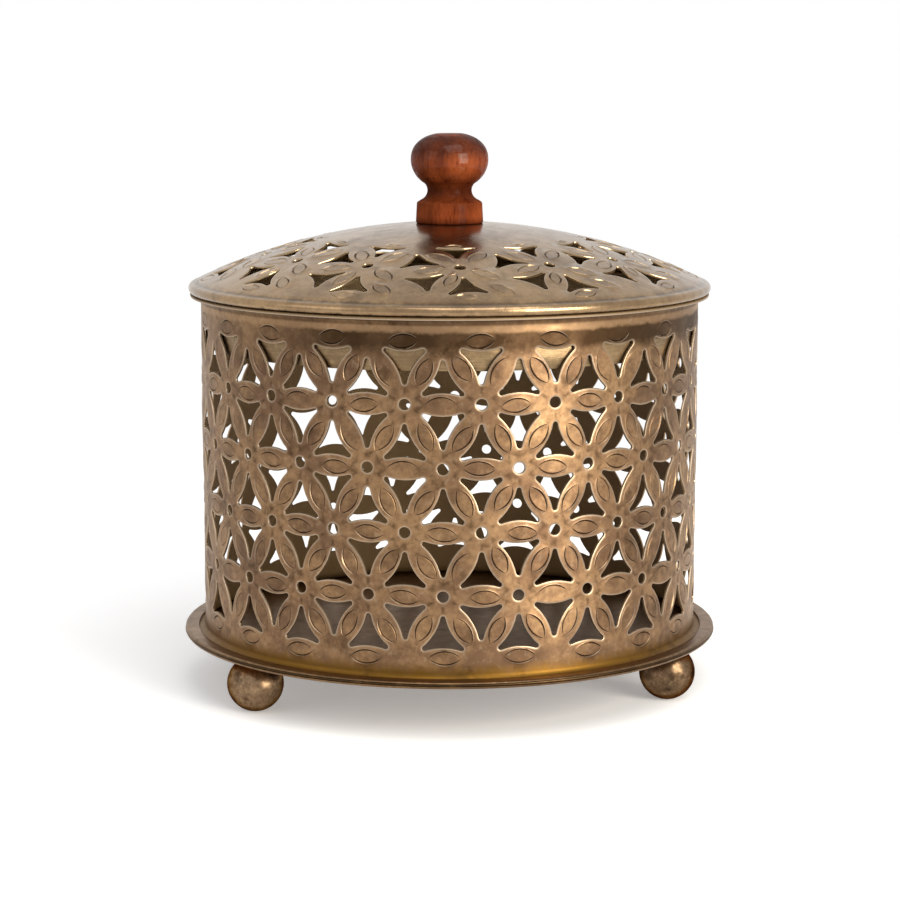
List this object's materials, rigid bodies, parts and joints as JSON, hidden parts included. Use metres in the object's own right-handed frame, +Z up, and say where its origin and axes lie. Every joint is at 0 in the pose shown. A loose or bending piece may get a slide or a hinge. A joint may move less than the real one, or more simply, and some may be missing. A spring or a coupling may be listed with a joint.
{
  "type": "incense burner",
  "caption": "Round pierced sheet-brass incense burner on ball feet, with a domed pierced lid that lifts off by a turned wooden knob.",
  "frame": {"origin": "on the ground under the middle of the burner, in the plane of the flats that the three ball feet stand on", "axes": "+Z up through the knob, -Y towards the front, +X to the right seen from the front"},
  "size_m": [0.117, 0.117, 0.12],
  "materials": {
    "body_brass": "antiqued pierced brass sheet, worn bright on the edges",
    "lid_brass": "antiqued brass sheet, smoother and greyer than the body",
    "collar_brass": "plain brushed brass strip",
    "foot_brass": "dark mottled brass balls",
    "knob_wood": "reddish-brown hardwood, lacquered",
    "fastener_steel": "plain steel"
  },
  "bodies": {
    "base": {"base_plate": "body_brass", "body_wall": "body_brass", "foot_front_left": "foot_brass", "foot_front_right": "foot_brass", "foot_rear": "foot_brass"},
    "lid": {"lid_dome": "lid_brass", "lid_collar": "collar_brass", "knob": "knob_wood", "knob_screw": "fastener_steel", "knob_washer": "fastener_steel"}
  },
  "joints": [
    {"name": "lid_lift", "type": "slide", "parent": "base", "child": "lid", "axis": [0, 0, 1], "range_m": [0, 0.06]}
  ]
}
